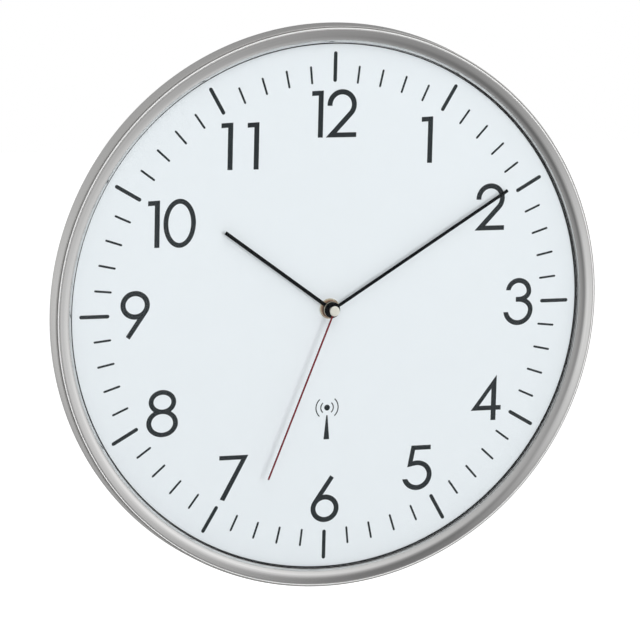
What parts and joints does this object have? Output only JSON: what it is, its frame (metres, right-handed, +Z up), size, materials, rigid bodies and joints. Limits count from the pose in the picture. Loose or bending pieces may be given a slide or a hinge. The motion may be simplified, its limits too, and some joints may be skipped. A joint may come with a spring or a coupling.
{
  "type": "radio-controlled wall clock",
  "caption": "Round quartz wall clock with a satin metal rim, domed glass, white dial and three hands, driven by a radio-controlled movement in the rear case.",
  "frame": {"origin": "on the hand axis, in the plane where the back touches the wall", "axes": "+Z up towards twelve o'clock, -Y out of the dial towards the viewer, +X towards three o'clock"},
  "size_m": [0.3016, 0.0413, 0.3016],
  "materials": {
    "bezel_metal": "satin, fine circular grain",
    "drum_metal": "satin",
    "frame_plastic": "moulded",
    "clear_glass": "clear, domed",
    "black_rubber": "matt",
    "dial_white": "smooth white print ground",
    "case_plastic": "fine moulded grain",
    "brass": "turned",
    "hand_black": "black lacquer",
    "hand_red": "dark red lacquer",
    "cap_metal": "pale champagne, turned",
    "wheel_plastic": "acetal",
    "rotor_magnet": "sintered magnet",
    "stator_steel": "stamped",
    "copper_wire": "enamelled copper winding",
    "movement_plastic": "moulded",
    "board_green": "solder mask",
    "chip_black": "moulded epoxy",
    "ferrite": "sintered ferrite",
    "cell_label": "plain sleeve",
    "contact_steel": "nickel plated",
    "button_plastic": "moulded",
    "screw_steel": "zinc plated"
  },
  "bodies": {
    "case": {"outer_drum": "drum_metal", "bezel": "bezel_metal", "bezel_frame": "frame_plastic", "glass": "clear_glass", "glass_gasket": "black_rubber", "dial": "dial_white", "rear_case": "case_plastic", "case_screw_1": "screw_steel", "case_screw_2": "screw_steel", "case_screw_3": "screw_steel", "case_screw_4": "screw_steel", "case_screw_5": "screw_steel", "case_screw_6": "screw_steel", "threaded_bush": "brass", "rubber_washer": "black_rubber", "brass_washer": "brass", "fixing_nut": "brass", "movement_base": "movement_plastic", "movement_cover": "movement_plastic", "middle_plate": "movement_plastic", "train_bridge": "movement_plastic", "minute_stator": "stator_steel", "minute_coil": "copper_wire", "seconds_stator": "stator_steel", "seconds_coil": "copper_wire", "circuit_board": "board_green", "decoder_chip": "chip_black", "crystal": "contact_steel", "antenna_rod": "ferrite", "antenna_coil": "copper_wire", "battery": "cell_label", "contact_plate": "contact_steel", "contact_leaf": "contact_steel"},
    "minute": {"minute_hand": "hand_black", "centre_wheel": "wheel_plastic"},
    "hour": {"hour_hand": "hand_black", "hour_wheel": "wheel_plastic"},
    "second": {"second_hand": "hand_red", "second_cap": "cap_metal", "seconds_wheel": "wheel_plastic"},
    "motion": {"motion_wheel": "wheel_plastic"},
    "minute_mid": {"minute_mid_wheel": "wheel_plastic"},
    "minute_magnet": {"minute_rotor": "rotor_magnet"},
    "seconds_mid": {"seconds_mid_wheel": "wheel_plastic"},
    "seconds_magnet": {"seconds_rotor": "rotor_magnet"},
    "key_1": {"button_1": "button_plastic"},
    "key_2": {"button_2": "button_plastic"},
    "key_3": {"button_3": "button_plastic"}
  },
  "joints": [
    {"name": "minute_turn", "type": "hinge", "parent": "case", "child": "minute", "pos_m": [0, 0, 0], "axis": [0, 1, 0], "continuous": true},
    {"name": "hour_turn", "type": "hinge", "parent": "case", "child": "hour", "pos_m": [0, 0, 0], "axis": [0, 1, 0], "continuous": true},
    {"name": "motion_turn", "type": "hinge", "parent": "case", "child": "motion", "pos_m": [-0.01039, 0, 0.006], "axis": [0, 1, 0], "continuous": true},
    {"name": "minute_mid_turn", "type": "hinge", "parent": "case", "child": "minute_mid", "pos_m": [0.01224, 0, 0.00571], "axis": [0, 1, 0], "continuous": true},
    {"name": "minute_rotor_turn", "type": "hinge", "parent": "case", "child": "minute_magnet", "pos_m": [0.01734, 0, 0.01454], "axis": [0, 1, 0], "continuous": true},
    {"name": "second_turn", "type": "hinge", "parent": "case", "child": "second", "pos_m": [0, 0, 0], "axis": [0, 1, 0], "continuous": true},
    {"name": "seconds_mid_turn", "type": "hinge", "parent": "case", "child": "seconds_mid", "pos_m": [-0.0086, 0, -0.00602], "axis": [0, 1, 0], "continuous": true},
    {"name": "seconds_rotor_turn", "type": "hinge", "parent": "case", "child": "seconds_magnet", "pos_m": [-0.01484, 0, -0.00242], "axis": [0, 1, 0], "continuous": true},
    {"name": "key_1_press", "type": "slide", "parent": "case", "child": "key_1", "axis": [0, -1, 0], "range_m": [0, 0.0006], "stiffness_N_per_m": 800},
    {"name": "key_2_press", "type": "slide", "parent": "case", "child": "key_2", "axis": [0, -1, 0], "range_m": [0, 0.0006], "stiffness_N_per_m": 800},
    {"name": "key_3_press", "type": "slide", "parent": "case", "child": "key_3", "axis": [0, -1, 0], "range_m": [0, 0.0006], "stiffness_N_per_m": 800}
  ],
  "couplings": [
    {"joint": "motion_turn", "follows": "minute_turn", "ratio": -0.33333},
    {"joint": "hour_turn", "follows": "minute_turn", "ratio": 0.083333},
    {"joint": "minute_mid_turn", "follows": "minute_turn", "ratio": -8},
    {"joint": "minute_rotor_turn", "follows": "minute_turn", "ratio": 60},
    {"joint": "seconds_mid_turn", "follows": "second_turn", "ratio": -6},
    {"joint": "seconds_rotor_turn", "follows": "second_turn", "ratio": 30}
  ]
}
